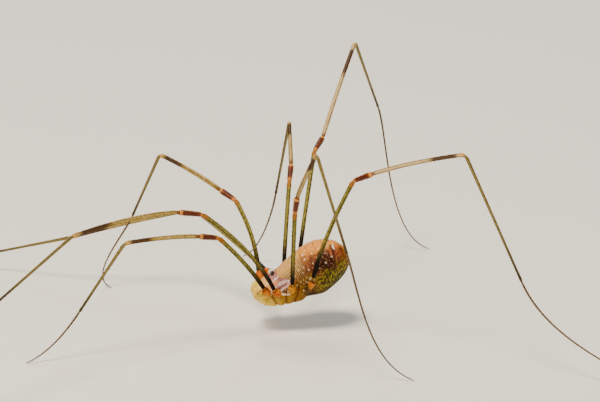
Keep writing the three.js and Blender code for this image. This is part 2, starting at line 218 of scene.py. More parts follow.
# Radius along each joint: share of its length, and radius.
GIRTH = {
    "trochanter": ((0, 0.2), (0.25, 0.28), (0.6, 0.31), (0.85, 0.27), (1, 0.17)),
    "femur": ((0, 0.13), (0.03, 0.165), (0.1, 0.175), (0.5, 0.17), (0.9, 0.175), (0.97, 0.2), (1, 0.14)),
    "patella": ((0, 0.14), (0.08, 0.195), (0.3, 0.205), (0.75, 0.235), (0.93, 0.235), (1, 0.14)),
    "tibia": ((0, 0.13), (0.04, 0.175), (0.15, 0.18), (0.6, 0.165), (0.92, 0.16), (0.98, 0.18), (1, 0.12)),
    "metatarsus": (
        (0, 0.11), (0.03, 0.14), (0.2, 0.125), (0.6, 0.108), (0.93, 0.1), (0.98, 0.115), (1, 0.075),
    ),
    "tarsus": ((0, 0.07), (0.03, 0.085), (0.3, 0.072), (0.7, 0.055), (0.97, 0.042), (1, 0.02)),
}

# Small teeth and hairs on each joint: how many rows, and their spacing, length, radius and lean.
BRISTLES = {
    "femur": (5, 0.34, 0.07, 0.022, 0.9),
    "patella": (5, 0.3, 0.07, 0.022, 0.9),
    "tibia": (5, 0.36, 0.06, 0.018, 1.0),
    "metatarsus": (4, 0.3, 0.11, 0.009, 1.4),
    "tarsus": (4, 0.2, 0.1, 0.007, 1.2),
}
# Bristles start and stop this far from a joint's ends, and none grow lower than this above the floor.
BRISTLE_ENDS = (0.25, 0.15)
BRISTLE_FLOOR = 0.2


def linear(hex_colour):
    """A colour written as on screen, turned into the linear values that shaders take."""
    shares = [int(hex_colour[i : i + 2], 16) / 255 for i in (0, 2, 4)]
    return [s / 12.92 if s <= 0.04045 else ((s + 0.055) / 1.055) ** 2.4 for s in shares] + [1.0]


def smooth(low, high, value):
    share = np.clip((value - low) / (high - low), 0, 1)
    return share * share * (3 - 2 * share)


def between(value, rise, fall):
    """1 where the value is past the rise and short of the fall, with smooth edges."""
    return smooth(*rise, value) * (1 - smooth(*fall, value))


def bell(distance, width):
    return np.exp(-((distance / width) ** 2))


def unit(vectors):
    return vectors / np.linalg.norm(vectors, axis=-1, keepdims=True)


def full_turn(count):
    return np.arange(count) / count * 2 * math.pi


def around(turns, first, second):
    """Ways at these turns from the first direction toward the second."""
    return np.cos(turns)[..., None] * first + np.sin(turns)[..., None] * second


def turn_x(degrees):
    c, s = math.cos(math.radians(degrees)), math.sin(math.radians(degrees))
    return np.array([[1, 0, 0], [0, c, -s], [0, s, c]])


def turn_y(degrees):
    c, s = math.cos(math.radians(degrees)), math.sin(math.radians(degrees))
    return np.array([[c, 0, s], [0, 1, 0], [-s, 0, c]])


BODY_TURN = turn_y(-HEAD_DOWN) @ turn_x(LEAN_LEFT)


def to_model(points):
    """Points of the body's own frame, in the model's frame."""
    return BODY_AT + np.asarray(points, float) @ BODY_TURN.T


def curve_through(points, place):
    """A smooth curve through the rows of points, at places counted in rows from the first."""
    last = len(points) - 1
    i = np.minimum(np.floor(place), last).astype(int)
    w = (place - i)[:, None]
    p0, p1, p2, p3 = (points[np.clip(i + k, 0, last)] for k in (-1, 0, 1, 2))
    v0, v1 = (p2 - p0) / 2, (p3 - p1) / 2
    return (2 * p1 - 2 * p2 + v0 + v1) * w**3 + (-3 * p1 + 3 * p2 - 2 * v0 - v1) * w**2 + v0 * w + p1


def walked_along(line):
    """How far along the line each of its points lies."""
    return np.concatenate([[0], np.cumsum(np.linalg.norm(np.diff(line, axis=0), axis=1))])


def at_places(line, walked, places):
    return np.stack([np.interp(places, walked, line[:, i]) for i in range(3)], axis=1)


def even_line(points, count, steps=20):
    """A smooth line of evenly spaced points through the given ones."""
    last = len(points) - 1
    fine = curve_through(points, np.linspace(0, last, steps * last + 1))
    walked = walked_along(fine)
    return at_places(fine, walked, np.linspace(0, walked[-1], count))


# Meshes


def new_object(name, data):
    made = bpy.data.objects.new(name, data)
    bpy.context.scene.collection.objects.link(made)
    return made


def mesh_piece(name, points, faces, materials, marks=None, face_slots=None):
    """A mesh object from points in millimetres. The marks are values at its points that its paint reads."""
    mesh = bpy.data.meshes.new(name)
    mesh.from_pydata((np.asarray(points) * MM).tolist(), [], faces)
    for material in materials:
        mesh.materials.append(material)
    mesh.polygons.foreach_set("use_smooth", np.ones(len(mesh.polygons), bool))
    if face_slots is not None:
        mesh.polygons.foreach_set("material_index", np.asarray(face_slots, np.int32))
    for key, values in (marks or {}).items():
        values = np.asarray(values, np.float32)
        kind = "FLOAT" if values.ndim == 1 else "FLOAT_VECTOR"
        layer = mesh.attributes.new(key, kind, "POINT")
        layer.data.foreach_set("value" if values.ndim == 1 else "vector", values.ravel())
    mesh.update()
    return new_object(name, mesh)


def settle(piece, slot, *nodes):
    """The piece rides on the still model's one body and stands for these nodes."""
    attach(piece, "root")
    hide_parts(*nodes)


def ring_faces(rings, sides):
    """Four-sided faces between rings of points, and fans to the two points that follow the rings."""
    faces = []
    for i in range(rings - 1):
        a = i * sides
        for k in range(sides):
            n = (k + 1) % sides
            faces.append((a + k, a + n, a + sides + n, a + sides + k))
    last = (rings - 1) * sides
    pole = rings * sides
    faces += [(pole, (k + 1) % sides, k) for k in range(sides)]
    faces += [(pole + 1, last + k, last + (k + 1) % sides) for k in range(sides)]
    return faces


def inside_out(faces):
    return [tuple(reversed(face)) for face in faces]


def ellipsoid(at, half, sides=28, rings=16):
    down = np.linspace(0, math.pi, rings + 1)[1:-1]
    turn = full_turn(sides)
    ring = np.stack([
        np.outer(np.sin(down), np.cos(turn)),
        np.outer(np.sin(down), np.sin(turn)),
        np.outer(np.cos(down), np.ones(sides)),
    ], axis=-1).reshape(-1, 3)
    points = np.vstack([ring, (0, 0, 1), (0, 0, -1)]) * half + at
    return points, inside_out(ring_faces(rings - 1, sides))


def tube(line, radii, sides):
    """A closed tube with round ends along a line of points."""
    along = unit(np.gradient(line, axis=0))
    across = unit(np.cross(along, (0, 1, 0)))
    other = np.cross(across, along)
    ring = around(full_turn(sides)[None, :], across[:, None], other[:, None])
    points = line[:, None] + ring * np.asarray(radii)[:, None, None]
    poles = line[0] - along[0] * radii[0] * 0.5, line[-1] + along[-1] * radii[-1] * 0.5
    return np.vstack([points.reshape(-1, 3), *poles]), inside_out(ring_faces(len(line), sides))


class Clump:
    """Several closed forms that become one mesh."""

    def __init__(self):
        self.points = []
        self.faces = []
        self.slots = []

    def add(self, points, faces, slots=0):
        """Adds a form. Its slots are the material slot of each face, or one slot for all."""
        first = sum(len(p) for p in self.points)
        self.points.append(np.asarray(points, float))
        self.faces.extend(tuple(first + i for i in face) for face in faces)
        self.slots.extend(slots if isinstance(slots, list) else [slots] * len(faces))

    def add_spines(self, roots, ways, lengths, radius, slot=0, sides=4, sink=0.04):
        """Thin cones from their roots along their ways, sunk a little in what they grow from."""
        for root, way, length in zip(roots, ways, lengths):
            helper = np.array([0, 0, 1.0]) if abs(way[2]) < 0.9 else np.array([1.0, 0, 0])
            across = unit(np.cross(way, helper))
            other = np.cross(way, across)
            base = root - way * sink
            ring = base + radius * around(full_turn(sides), across, other)
            points = np.vstack([ring, base - way * radius, root + way * length])
            faces = [(k, (k + 1) % sides, sides + 1) for k in range(sides)]
            faces += [((k + 1) % sides, k, sides) for k in range(sides)]
            self.add(points, faces, slot)

    def all_points(self):
        return np.vstack(self.points)


# Materials


class Paint:
    """A node material that is built up in layers of colour, gloss and relief."""

    def __init__(self, name, colour, roughness=0.5, specular=0.5):
        self.material = bpy.data.materials.new(name)
        self.material.use_nodes = True
        self.tree = self.material.node_tree
        self.shader = self.tree.nodes["Principled BSDF"]
        self.shader.inputs["Specular IOR Level"].default_value = specular
        self.colour = linear(colour)
        self.roughness = roughness
        self.relief = {}

    def feed(self, node, values):
        """Each value is a number or a colour, another node's output, or the name of a mark."""
        for key, value in values.items():
            if isinstance(value, str):
                value = self.mark(value)
            if isinstance(value, bpy.types.NodeSocket):
                self.tree.links.new(value, node.inputs[key])
            else:
                node.inputs[key].default_value = value

    def node(self, kind, values, **settings):
        made = self.tree.nodes.new(kind)
        for key, value in settings.items():
            setattr(made, key, value)
        self.feed(made, values)
        return made

    def mark(self, name, output="Fac"):
        return self.node("ShaderNodeAttribute", {}, attribute_name=name).outputs[output]

    def mark_axis(self, name, axis):
        return self.node("ShaderNodeSeparateXYZ", {0: self.mark(name, "Vector")}).outputs[axis]

    def place(self, stretch=None):
        """The point's own place, stretched by a factor for each axis."""
        vector = self.mark("place", "Vector")
        if stretch is None:
            return vector
        return self.node("ShaderNodeMapping", {"Vector": vector, "Scale": stretch}).outputs["Vector"]

    def noise(self, scale, detail=3.0, rough=0.55, stretch=None):
        values = {"Vector": self.place(stretch), "Scale": scale, "Detail": detail, "Roughness": rough}
        return self.node("ShaderNodeTexNoise", values).outputs["Fac"]

    def cells(self, scale):
        values = {"Vector": self.place(), "Scale": scale}
        return self.node("ShaderNodeTexVoronoi", values).outputs["Distance"]

    def math(self, operation, a, b=0.0):
        return self.node("ShaderNodeMath", {0: a, 1: b}, operation=operation).outputs[0]

    def times(self, *factors):
        product = factors[0]
        for factor in factors[1:]:
            product = self.math("MULTIPLY", product, factor)
        return product

    def span(self, value, low, high, start=0.0, end=1.0):
        """Goes smoothly from start to end as the value goes from low to high."""
        values = {"Value": value, "From Min": low, "From Max": high, "To Min": start, "To Max": end}
        return self.node("ShaderNodeMapRange", values, interpolation_type="SMOOTHSTEP").outputs["Result"]

    def fall(self, value, low, high, end=0.0):
        return self.span(value, low, high, 1.0, end)

    def off(self, value, middle):
        """How far the value is from its middle, to either side."""
        return self.math("ABSOLUTE", self.math("SUBTRACT", value, middle))

    def wander(self, value, noise, reach):
        """The value, moved up and down by the noise."""
        return self.math("ADD", value, self.times(self.math("SUBTRACT", noise, 0.5), reach))

    def layer(self, colour, *shares):
        """Lays a colour over the ones before it, as far as the product of the shares says."""
        values = {"Factor": self.times(*shares), "A": self.colour, "B": linear(colour)}
        self.colour = self.node("ShaderNodeMix", values, data_type="RGBA").outputs["Result"]

    def gloss(self, roughness, *shares):
        values = {"Factor": self.times(*shares), "A": self.roughness, "B": roughness}
        self.roughness = self.node("ShaderNodeMix", values, data_type="FLOAT").outputs["Result"]

    def speckle(self, colour, scale, low, high, strength):
        """Small patches of a colour where a noise of this scale passes from low to high."""
        self.layer(colour, self.span(self.noise(scale, 2), low, high), strength)

    def stripes(self, colour, strength, width):
        """Lines along the four ridges of a leg's joint."""
        turn = self.math("ARCTAN2", self.mark_axis("round", "Y"), self.mark_axis("round", "X"))
        wave = self.math("COSINE", self.math("MULTIPLY", turn, 4.0))
        breaks = self.span(self.noise(7.0, 2), 0.36, 0.5)
        self.layer(colour, self.span(wave, -width, -0.95), breaks, strength)

    def bump(self, height, depth):
        """Relief of this depth in millimetres, on top of the relief before it."""
        values = {"Strength": 1.0, "Distance": depth * MM, "Height": height, **self.relief}
        self.relief = {"Normal": self.node("ShaderNodeBump", values).outputs["Normal"]}

    def grained(self, scale, depth, subsurface=0.0):
        """The finished material, with a fine grain of this scale and depth."""
        self.bump(self.noise(scale), depth)
        return self.done(subsurface)

    def done(self, subsurface=0.0):
        self.feed(self.shader, {"Base Color": self.colour, "Roughness": self.roughness, **self.relief})
        if subsurface:
            depths = {"Subsurface Radius": LIGHT_REACH, "Subsurface Scale": MM}
            self.feed(self.shader, {"Subsurface Weight": subsurface, **depths})
        return self.material


# Camera, floor and light


def camera():
    rise, turn = math.radians(CAMERA["rise"]), math.radians(CAMERA["turn"])
    right = np.array([math.cos(turn), -math.sin(turn), 0])
    look = np.array([math.sin(turn) * math.cos(rise), math.cos(turn) * math.cos(rise), -math.sin(rise)])
    up = np.cross(right, look)
    per_mm = CAMERA["focal_px"] / CAMERA["distance"]
    across = (IMAGE["wide"] / 2 - CAMERA["body_px"][0]) / per_mm
    above = (CAMERA["body_px"][1] - IMAGE["high"] / 2) / per_mm
    place = BODY_AT + above * up + across * right - CAMERA["distance"] * look
    data = bpy.data.cameras.new("camera")
    data.sensor_width = SENSOR
    data.lens = CAMERA["focal_px"] * SENSOR / IMAGE["wide"]
    data.clip_start = NEAREST_SEEN
    made = new_object("camera", data)
    made.location = Vector(place * MM)
    made.rotation_euler = Vector(look).to_track_quat("-Z", "Y").to_euler()
    bpy.context.scene.camera = made


def light(name, spec):
    data = bpy.data.lights.new(name, "AREA")
    data.shape = "DISK"
    data.size = spec["size"]
    data.energy = spec["power"]
    data.color = linear(spec["colour"])[:3]
    made = new_object(name, data)
    made.location = spec["at"]
    made.rotation_euler = (Vector(LIT_PLACE) - Vector(spec["at"])).to_track_quat("-Z", "Y").to_euler()


def studio():
    for name, spec in LIGHTS.items():
        light(name, spec)
    world = bpy.data.worlds.new("studio")
    world.use_nodes = True
    back = world.node_tree.nodes["Background"]
    back.inputs["Color"].default_value = linear(ROOM["colour"])
    back.inputs["Strength"].default_value = ROOM["strength"]
    bpy.context.scene.world = world


def floor():
    steps = FLOOR["steps"]
    line = np.linspace(-FLOOR["half"], FLOOR["half"], steps + 1)
    points = [(x, y, 0) for y in line for x in line]
    row = steps + 1
    corners = [j * row + i for j in range(steps) for i in range(steps)]
    faces = [(a, a + 1, a + row + 1, a + row) for a in corners]
    paint = Paint("floor_paint", FLOOR["colour"], 0.8, 0.1)
    mesh_piece("floor", points, faces, [paint.done()])


# Body. The side angle is 0 on its top, 90 at its side and 180 below.


def outline(share):
    """Place along the body, top, bottom and half width at shares of the way through the stations."""
    return curve_through(STATIONS, np.asarray(share) * (len(STATIONS) - 1))


def fold_turn(x):
    """How many folds of the abdomen lie between its start and this place."""
    return (x - FOLDS["start"]) / (FOLDS["end"] - FOLDS["start"]) * FOLDS["count"]


def fold_at(x):
    inside = (x > FOLDS["start"]) & (x < FOLDS["end"])
    return FOLDS["height"] * np.abs(np.sin(fold_turn(x) * math.pi)) * inside


def coxa_place(x, angle):
    """Place along the coxae: their lobes run together toward one place under the body."""
    spread = 1 - (1 - COXA["gather"]) * np.maximum(0, -np.sin(angle))
    return COXA["meet"] + (x - COXA["meet"]) / spread


def coxa_zone(x, angle):
    """How much of a place belongs to the coxae, from 0 to 1."""
    outer = coxa_place(x, angle)
    below = (math.radians(COXA["shelf"]) - np.arcsin(np.sin(angle))) / math.radians(COXA["blend"])
    front, rear, fade = COXA_ENDS.values()
    return np.clip(below, 0, 1) * between(outer, (front, front + fade), (rear - fade, rear))


def groove_at(x, angle, width):
    outer = coxa_place(x, angle)
    return np.max([bell(outer - at, width) for at in GROOVES["at"]], axis=0)


def spot(x, side, at, size):
    return bell(x - at[0], size[0]) * bell(side - at[1], size[1])


def soft_back(x, side, angle, border):
    """Pleats behind the shield, wrinkles farther back, and the seams between the abdomen's segments."""
    zone = smooth(-0.04, 0.2, x - border) * (1 - smooth(-0.1, 0.7, x)) * (1 - smooth(60, 78, side))
    wander = 0.05 * np.sin(np.radians(side) * 3 + x) + 0.02 * np.sin(angle * 11 + x * 4)
    pleats = np.sin(2 * math.pi * (x + wander) / PLEAT)
    hind_zone = smooth(-0.4, 0.6, x) * (1 - smooth(100, 150, side))
    wrinkles = np.sin(2 * math.pi * (x + 0.08 * np.sin(angle * 4)) / WRINKLE)
    cut = fold_turn(x)
    nearest = np.abs(cut - np.round(cut)) + 0.03 * np.sin(angle * 17 + x * 9)
    seam = bell(nearest, 0.07) * between(x, (-0.3, -0.1), (3.6, 3.75)) * (1 - smooth(76, 120, side))
    forms = {"pleat": zone * pleats, "wrinkle": hind_zone * wrinkles, "seam": seam}
    return forms, {
        "pleat": zone * smooth(-0.5, 0.9, pleats) * (1 - 0.6 * smooth(36, 64, side)),
        "gap": zone * (1 - smooth(-0.95, -0.1, pleats)),
        "seam": seam,
    }


def shield(x, side, angle, border):
    """The lumpy shield over the front of the body, its rim, and the sunk band between it and the coxae."""
    zone = (1 - smooth(-0.06, 0.12, x - border)) * (1 - smooth(64, 76, side))
    ridges = np.sin(np.radians(side) * 13 + 1.1 * np.sin(x * 3.1) + 0.6)
    knolls = np.sin(x * 9 + 1.4 * np.sin(angle * 6)) * np.sin(angle * 9 + 0.8)
    lumps_and_highlight = 0.65 * ridges + 0.35 * knolls
    creases = np.abs(np.sin(x * 4.2 + np.radians(side) * 5 + 0.6 * np.sin(angle * 9)))
    rim_line = SHIELD["rim"] + 5 * np.sin((x + 3) * 1.6)
    rim = bell(side - rim_line, 3.4) * between(x, (-3.1, -2.7), (-1.0, -0.6))
    band_line = SHIELD["band"] + 20 * (x + 1.6)
    band = bell(side - band_line, 8) * between(x, (-2.4, -2.0), (-1.1, -0.6))
    forms = {"lump": zone * lumps_and_highlight, "crease": zone * bell(creases, 0.16), "rim": rim, "band": band}
    return forms, {
        "shield": zone,
        "rim": rim,
        "band": band,
        # The lumps' mark also carries the whitish painted highlight on their tops.
        "lumps_and_highlight": zone * smooth(0.0, 0.7, lumps_and_highlight) * smooth(14, 30, side),
        "patch": zone * spot(x, side, (-2.1, 44), (0.3, 12)),
    }


def coxae(x, side, angle):
    """The lobes that carry the legs, the grooves between them and the knobs along their tops."""
    zone = smooth(0.05, 0.75, coxa_zone(x, angle))
    groove = groove_at(x, angle, GROOVES["width"]) * zone
    hollow = groove_at(x, angle, GROOVES["hollow"]) * zone
    bumps = np.sin(x * 19 + 1.7 * np.sin(x * 5)) * np.sin(side * 0.42 + x * 4)
    knobs = np.clip(bumps, 0, 1) * bell(side - 76, 9) * zone
    forms = {"groove": groove, "hollow": hollow, "knob": knobs}
    return forms, {"coxa": zone, "groove": groove, "hollow": hollow, "knobs": knobs}


def painted_glints(x, side):
    """Rows of small painted highlights, glints across the abdomen, a little out of line."""
    found = np.zeros_like(x)
    count = PAINTED_GLINTS["sides"][2]
    for row in np.arange(*PAINTED_GLINTS["rows"]):
        sides = np.linspace(*PAINTED_GLINTS["sides"]) + RANDOM.uniform(-3.5, 3.5, count)
        places = row + RANDOM.uniform(-0.16, 0.16, count)
        sizes = PAINTED_GLINTS["size"] * RANDOM.uniform(0.5, 1.3, count)
        near = np.abs(x[:, 0] - row) < 0.3
        for at, turn, size in zip(places, sides, sizes):
            painted_glint = spot(x[near], side[near], (at, turn), (size, size * PAINTED_GLINTS["round"]))
            found[near] = np.maximum(found[near], painted_glint)
    return found


def flank_marks(x, side, angle):
    """Dark saddle, pale arc and dots of the abdomen, and its painted glints."""
    wave = 6 * np.sin(x * 9 + angle * 2) + 4 * np.sin(x * 17 + side * 0.2)
    curve = x - 3.06 - 0.0005 * (side - 27) ** 2
    arc = bell(curve, 0.045) * between(side, (15, 20), (33, 38))
    shade = bell(curve + 0.14, 0.08) * between(side, (12, 20), (36, 46))
    dark = shade + spot(x, side, (3.62, 32), (0.1, 8)) + 0.8 * spot(x, side, (2.95, 46), (0.12, 8))
    dark = np.clip(dark, 0, 1)
    dots = sum(spot(x, side, (a, b), (DOT_SIZE[0] * size, DOT_SIZE[1] * size)) for a, b, size in DOTS)
    forms = {"dot": np.clip(dots, 0, 1), "arc": arc, "dark": dark}
    return forms, {
        "saddle": smooth(0.3, 0.7, spot(x, side + wave, (2.15, 60), (0.9, 29))),
        "shoulder": smooth(0.15, 0.75, spot(x, side, (0.5, 50), (1.25, 30))),
        "red": spot(x, side, (3.2, 38), (0.5, 20)),
        "arc": arc,
        "dark": dark,
        "cream": np.clip(dots * 1.3, 0, 1),
        "painted_glint": painted_glints(x, side),
    }


def body_relief(x, side, angle):
    """Height of the skin's relief, and the marks that its paint reads."""
    border = SHIELD["border"] + SHIELD["shift"] * smooth(28, 68, side)
    marks = {"side": side, "along": x}
    height = np.zeros_like(x)
    for forms, own_marks in (
        soft_back(x, side, angle, border),
        shield(x, side, angle, border),
        coxae(x, side, angle),
        flank_marks(x, side, angle),
    ):
        height += sum(RELIEF[kind] * form for kind, form in forms.items())
        marks.update(own_marks)
    return height, marks


def body_skin():
    shares = [np.linspace(a, b, n, endpoint=False) for a, b, n in BODY_RINGS]
    rows = outline(np.concatenate([*shares, [1.0]]))
    x, top, bottom, half = (rows[:, i][:, None] for i in range(4))
    angle = full_turn(BODY_SIDES)[None, :] + 0 * x
    x = x + 0 * angle
    middle, tall = (top + bottom) / 2, (top - bottom) / 2
    upper = np.maximum(0, np.sin(angle))
    swell = 1 + (fold_at(x) * upper + COXA["height"] * coxa_zone(x, angle)) / tall
    points = np.stack([x, np.cos(angle) * half * swell, middle + np.sin(angle) * tall * swell], axis=-1)
    along = np.gradient(points, axis=0)
    ahead = (np.roll(points, -1, axis=1) - np.roll(points, 1, axis=1)) / 2
    normal = unit(np.cross(ahead, along))
    side = np.degrees(np.arccos(np.clip(np.sin(angle), -1, 1)))
    height, marks = body_relief(x, side, angle)
    return points + normal * height[..., None], marks


class BodyPaint(Paint):
    """The body's paint. Its layers share some noises and places, and lie over each other in this order."""

    def __init__(self):
        super().__init__("body_paint", "dc8828", 0.46, 0.1)
        self.patch, self.speck, self.grain = self.noise(3.4, 4), self.noise(8.0, 4), self.noise(22.0, 2)
        self.wavy = self.wander(self.wander("side", self.noise(1.3, 4), 50.0), self.patch, 36.0)
        self.low = self.times(self.span(self.wavy, 66, 90), self.span("along", 0.2, 1.2))
        # The zone below, which the paint darkens as painted shade.
        self.shaded_belly = self.span(self.wavy, 94, 150)

    def flank(self):
        self.layer("f0b254", self.span(self.speck, 0.44, 0.6), 0.65)
        self.layer("b46026", self.span(self.patch, 0.52, 0.64), 0.4)
        flank = self.span(self.wavy, 13, 44)
        self.layer("8a4824", flank, 0.85)
        self.layer("4e2612", self.span(self.wavy, 28, 56), 0.8)
        self.layer("c88244", flank, self.span(self.speck, 0.53, 0.62), 0.55)
        self.layer("4a2414", flank, self.span(self.noise(6.5, 3), 0.52, 0.62), 0.6)
        self.layer("302800", self.low, 0.95)

    def saddle(self):
        self.layer("300e06", "saddle", self.span(self.speck, 0.08, 0.34), 0.92)
        self.layer("8a3418", "red", 0.6)
        self.layer("6a3822", "shoulder", self.span(self.patch, 0.3, 0.5), 0.62)
        self.layer("804600", self.span("along", 3.1, 3.8), self.span(self.speck, 0.3, 0.55), 0.8)

    def hip_side(self):
        share = self.times(self.span(self.wavy, 56, 84), self.span("along", -0.9, -0.1))
        share = self.times(share, self.fall("along", 0.9, 1.6))
        self.layer("4a2608", share, 0.85)
        self.layer("94622c", share, self.span(self.speck, 0.5, 0.6), 0.45)

    def underside(self):
        """Painted shade over the body's underside, and thin winding lines above it, where two smooth noises
        cross their middles.
        """
        self.layer("1c1a00", self.shaded_belly, 0.8)
        ridge = self.off(self.noise(3.1, 1.2, 0.5, (1.25, 1.0, 0.8)), 0.5)
        crossing = self.off(self.noise(5.2, 1.0, 0.5, (1.3, 1.2, 0.7)), 0.47)
        thin = self.times(self.fall(crossing, 0.01, 0.035), 0.7)
        lines = self.math("MAXIMUM", self.fall(ridge, 0.02, 0.06), thin)
        lit = self.times(lines, self.span(self.patch, 0.34, 0.5), self.fall(self.wavy, 96, 140, 0.2))
        self.layer("b0a01c", self.low, lit, 0.85)

    def pleats(self):
        # Small pale glints in rows, painted highlights broken up by the grain.
        self.layer("f0b87c", "painted_glint", self.span(self.grain, 0.42, 0.56), 0.8)
        self.layer("ffdc88", "pleat", 0.85)
        self.layer("5e301c", "gap", 0.85)
        self.layer("5a2c1c", "seam", 0.32)

    def shield(self):
        self.layer("8c5e60", "shield", 0.92)
        self.layer("c49694", "shield", self.span(self.patch, 0.46, 0.58), 0.6)
        # Whitish painted highlights along the tops of the shield's lumps.
        self.layer("fff0ea", "lumps_and_highlight", self.span(self.speck, 0.38, 0.56), 0.85)
        front_edge = self.times("shield", self.span("along", -2.38, -2.6))
        self.layer("e8a440", front_edge, 0.9)
        self.layer("fbe4b8", front_edge, self.span(self.speck, 0.5, 0.62), 0.8)
        self.layer("f0a050", "patch", self.span(self.speck, 0.36, 0.5), 0.9)

    def coxae(self):
        self.layer("a07800", "coxa")
        self.layer("ecca50", "coxa", self.span("along", -1.9, -2.9), 0.9)
        self.layer("845400", "coxa", self.span("along", -1.7, -0.7), 0.8)
        self.layer("2e1a00", "coxa", self.span("along", -0.8, 0.0), 0.92)
        # Painted shade on the underside of the coxae, stronger toward the rear.
        under = self.times(self.span("side", 104, 140), self.span("along", -2.2, -0.6))
        self.layer("5e4000", "coxa", under, 0.7)
        self.layer("8a5c00", "coxa", self.span(self.patch, 0.5, 0.64), 0.5)
        self.layer("e0a836", "coxa", self.span(self.speck, 0.56, 0.66), 0.4)
        self.layer("321402", self.span("band", 0.15, 0.6), 0.95)
        self.layer("8a4c08", "hollow", 0.35)
        self.layer("4c2606", "groove", 0.75)
        self.layer("f8d8a8", "knobs", 0.9)

    def small_marks(self):
        self.layer("efcdb8", "rim", self.span(self.speck, 0.34, 0.5), 0.9)
        self.layer("240806", "dark", 0.95)
        self.layer("ffecc8", "cream")
        self.layer("fff8ee", "arc")

    def shine(self):
        self.gloss(0.16, "shield", 0.9)
        self.gloss(0.24, "coxa", 0.9)
        self.gloss(0.2, "cream")
        self.gloss(0.8, self.shaded_belly)


def body_paint():
    paint = BodyPaint()
    paint.flank()
    paint.saddle()
    paint.hip_side()
    paint.underside()
    paint.pleats()
    paint.shield()
    paint.coxae()
    paint.small_marks()
    paint.shine()
    paint.bump(paint.cells(12.0), 0.02)
    paint.bump(paint.grain, 0.015)
    return paint.done(0.06)


def body():
    points, marks = body_skin()
    rings, sides = points.shape[:2]
    front = points[0].mean(0) - (NOSE, 0, 0)
    back = points[-1].mean(0) + (TAIL, 0, 0)
    place = np.vstack([points.reshape(-1, 3), front, back])
    values = {"place": place}
    for key, value in marks.items():
        rows = value.reshape(-1)
        values[key] = np.concatenate([rows, [rows[0], rows[-1]]])
    piece = mesh_piece("body", to_model(place), ring_faces(rings, sides), [body_paint()], values)
    settle(piece, "abdomen", "prosoma", "abdomen")


# Legs


def direction(heading, rise):
    h, r = math.radians(heading), math.radians(rise)
    return np.array([-math.cos(h) * math.cos(r), -math.sin(h) * math.cos(r), math.sin(r)])


def left_of(heading):
    h = math.radians(heading)
    return np.array([math.sin(h), -math.cos(h), 0])


def leg_ends(name):
    """The places of the hip and of the far ends of the next four joints, and the ways they point."""
    pair, stance = PAIRS[name[1]], STANCE[name]
    sign = -1 if name[0] == "l" else 1
    hip = np.array(pair["hip"]) * (1, sign, 1) + (stance.get("slide", 0), 0, 0)
    ways = [direction(*joint) for joint in stance["joints"]]
    ends = [to_model(hip)]
    for way, length in zip(ways, pair["lengths"]):
        ends.append(ends[-1] + way * length)
    return ends, ways


def bent(start, handle, end, t):
    t = t[:, None]
    return (1 - t) ** 2 * start + 2 * t * (1 - t) * handle + t**2 * end


def joint_line(start, end, joint, bow, aside):
    """The middle line of one joint, bowed upward and to the left of its heading."""
    up = direction(joint[0], joint[1] + 90)
    handle = start + (end - start) * BOW_PLACE + 2 * (bow * up + aside * left_of(joint[0]))
    return bent(start, handle, end, np.linspace(0, 1, LINE_POINTS["joint"]))


def tarsus_curve(name, ends, ways):
    """From the metatarsus down to the floor, where the foot's tip lies nearly level."""
    stance = STANCE[name]
    start = ends[4]
    foot = np.array([*stance["foot"], 0.0]) + (BODY_AT[0], BODY_AT[1], FOOT_HEIGHT)
    path = foot - start
    level = direction(stance["toe"], 0) if "toe" in stance else unit(path * (1, 1, 0))
    drop = math.radians(TOE_DROP)
    landing = level * math.cos(drop) - (0, 0, math.sin(drop))
    reach = np.linalg.norm(path) / 3
    a, b, c, d = start, start + ways[3] * reach, foot - landing * reach, foot
    t = np.linspace(0, 1, LINE_POINTS["foot"])[:, None]
    return (1 - t) ** 3 * a + 3 * t * (1 - t) ** 2 * b + 3 * t**2 * (1 - t) * c + t**3 * d


def leg_path(name):
    """The leg's middle line, and for each of its points the joint, its place on it and its length."""
    ends, ways = leg_ends(name)
    stance = STANCE[name]
    root = ends[0] - ways[0] * (2 * TROCHANTER)
    line = [root[None, :], ends[0][None, :]]
    for i in range(4):
        aside = stance.get("aside", 0) if i == 0 else 0
        joint = joint_line(ends[i], ends[i + 1], stance["joints"][i], stance["bows"][i], aside)
        clear = np.linalg.norm(joint - ends[i + 1], axis=1) > (KNEE if i < 3 else ANKLE)
        if i > 0:
            clear &= np.linalg.norm(joint - ends[i], axis=1) > KNEE
        joint = joint[clear]
        if i > 0:
            bend = np.linspace(0, 1, LINE_POINTS["bend"])[1:-1]
            line.append(bent(line[-1][-1], ends[i], joint[0], bend))
        line.append(joint)
    line = np.vstack([*line, tarsus_curve(name, ends, ways)])
    apart = np.linalg.norm(np.diff(line, axis=0), axis=1) > 1e-6
    line = line[np.concatenate([[True], apart])]
    walked = walked_along(line)
    stops = [walked[np.argmin(np.linalg.norm(line - stop, axis=1))] for stop in (root, *ends[:5])]
    stops = np.array([*stops, walked[-1]])
    places = np.linspace(0, walked[-1], int(walked[-1] / LEG_STEP))
    joint = np.clip(np.searchsorted(stops, places, side="right") - 1, 0, 5)
    base = places - stops[joint]
    return at_places(line, walked, places), joint, base, stops[joint + 1] - stops[joint]


def leg_frames(centre, heading):
    """Along, side and up vectors for each point, carried along the line without twist."""
    along = unit(np.gradient(centre, axis=0))
    side = left_of(heading)
    sides = []
    for way in along:
        side = unit(side - way * side.dot(way))
        sides.append(side)
    sides = np.array(sides)
    return along, sides, np.cross(sides, along)


def girth(joint, share, thick):
    radius = np.zeros(len(share))
    for i, name in enumerate(JOINT_NAMES):
        stops = np.array(GIRTH[name])
        own = joint == i
        factor = 1.0 if name == "trochanter" else thick
        radius[own] = np.interp(share[own], stops[:, 0], stops[:, 1]) * factor
    return radius


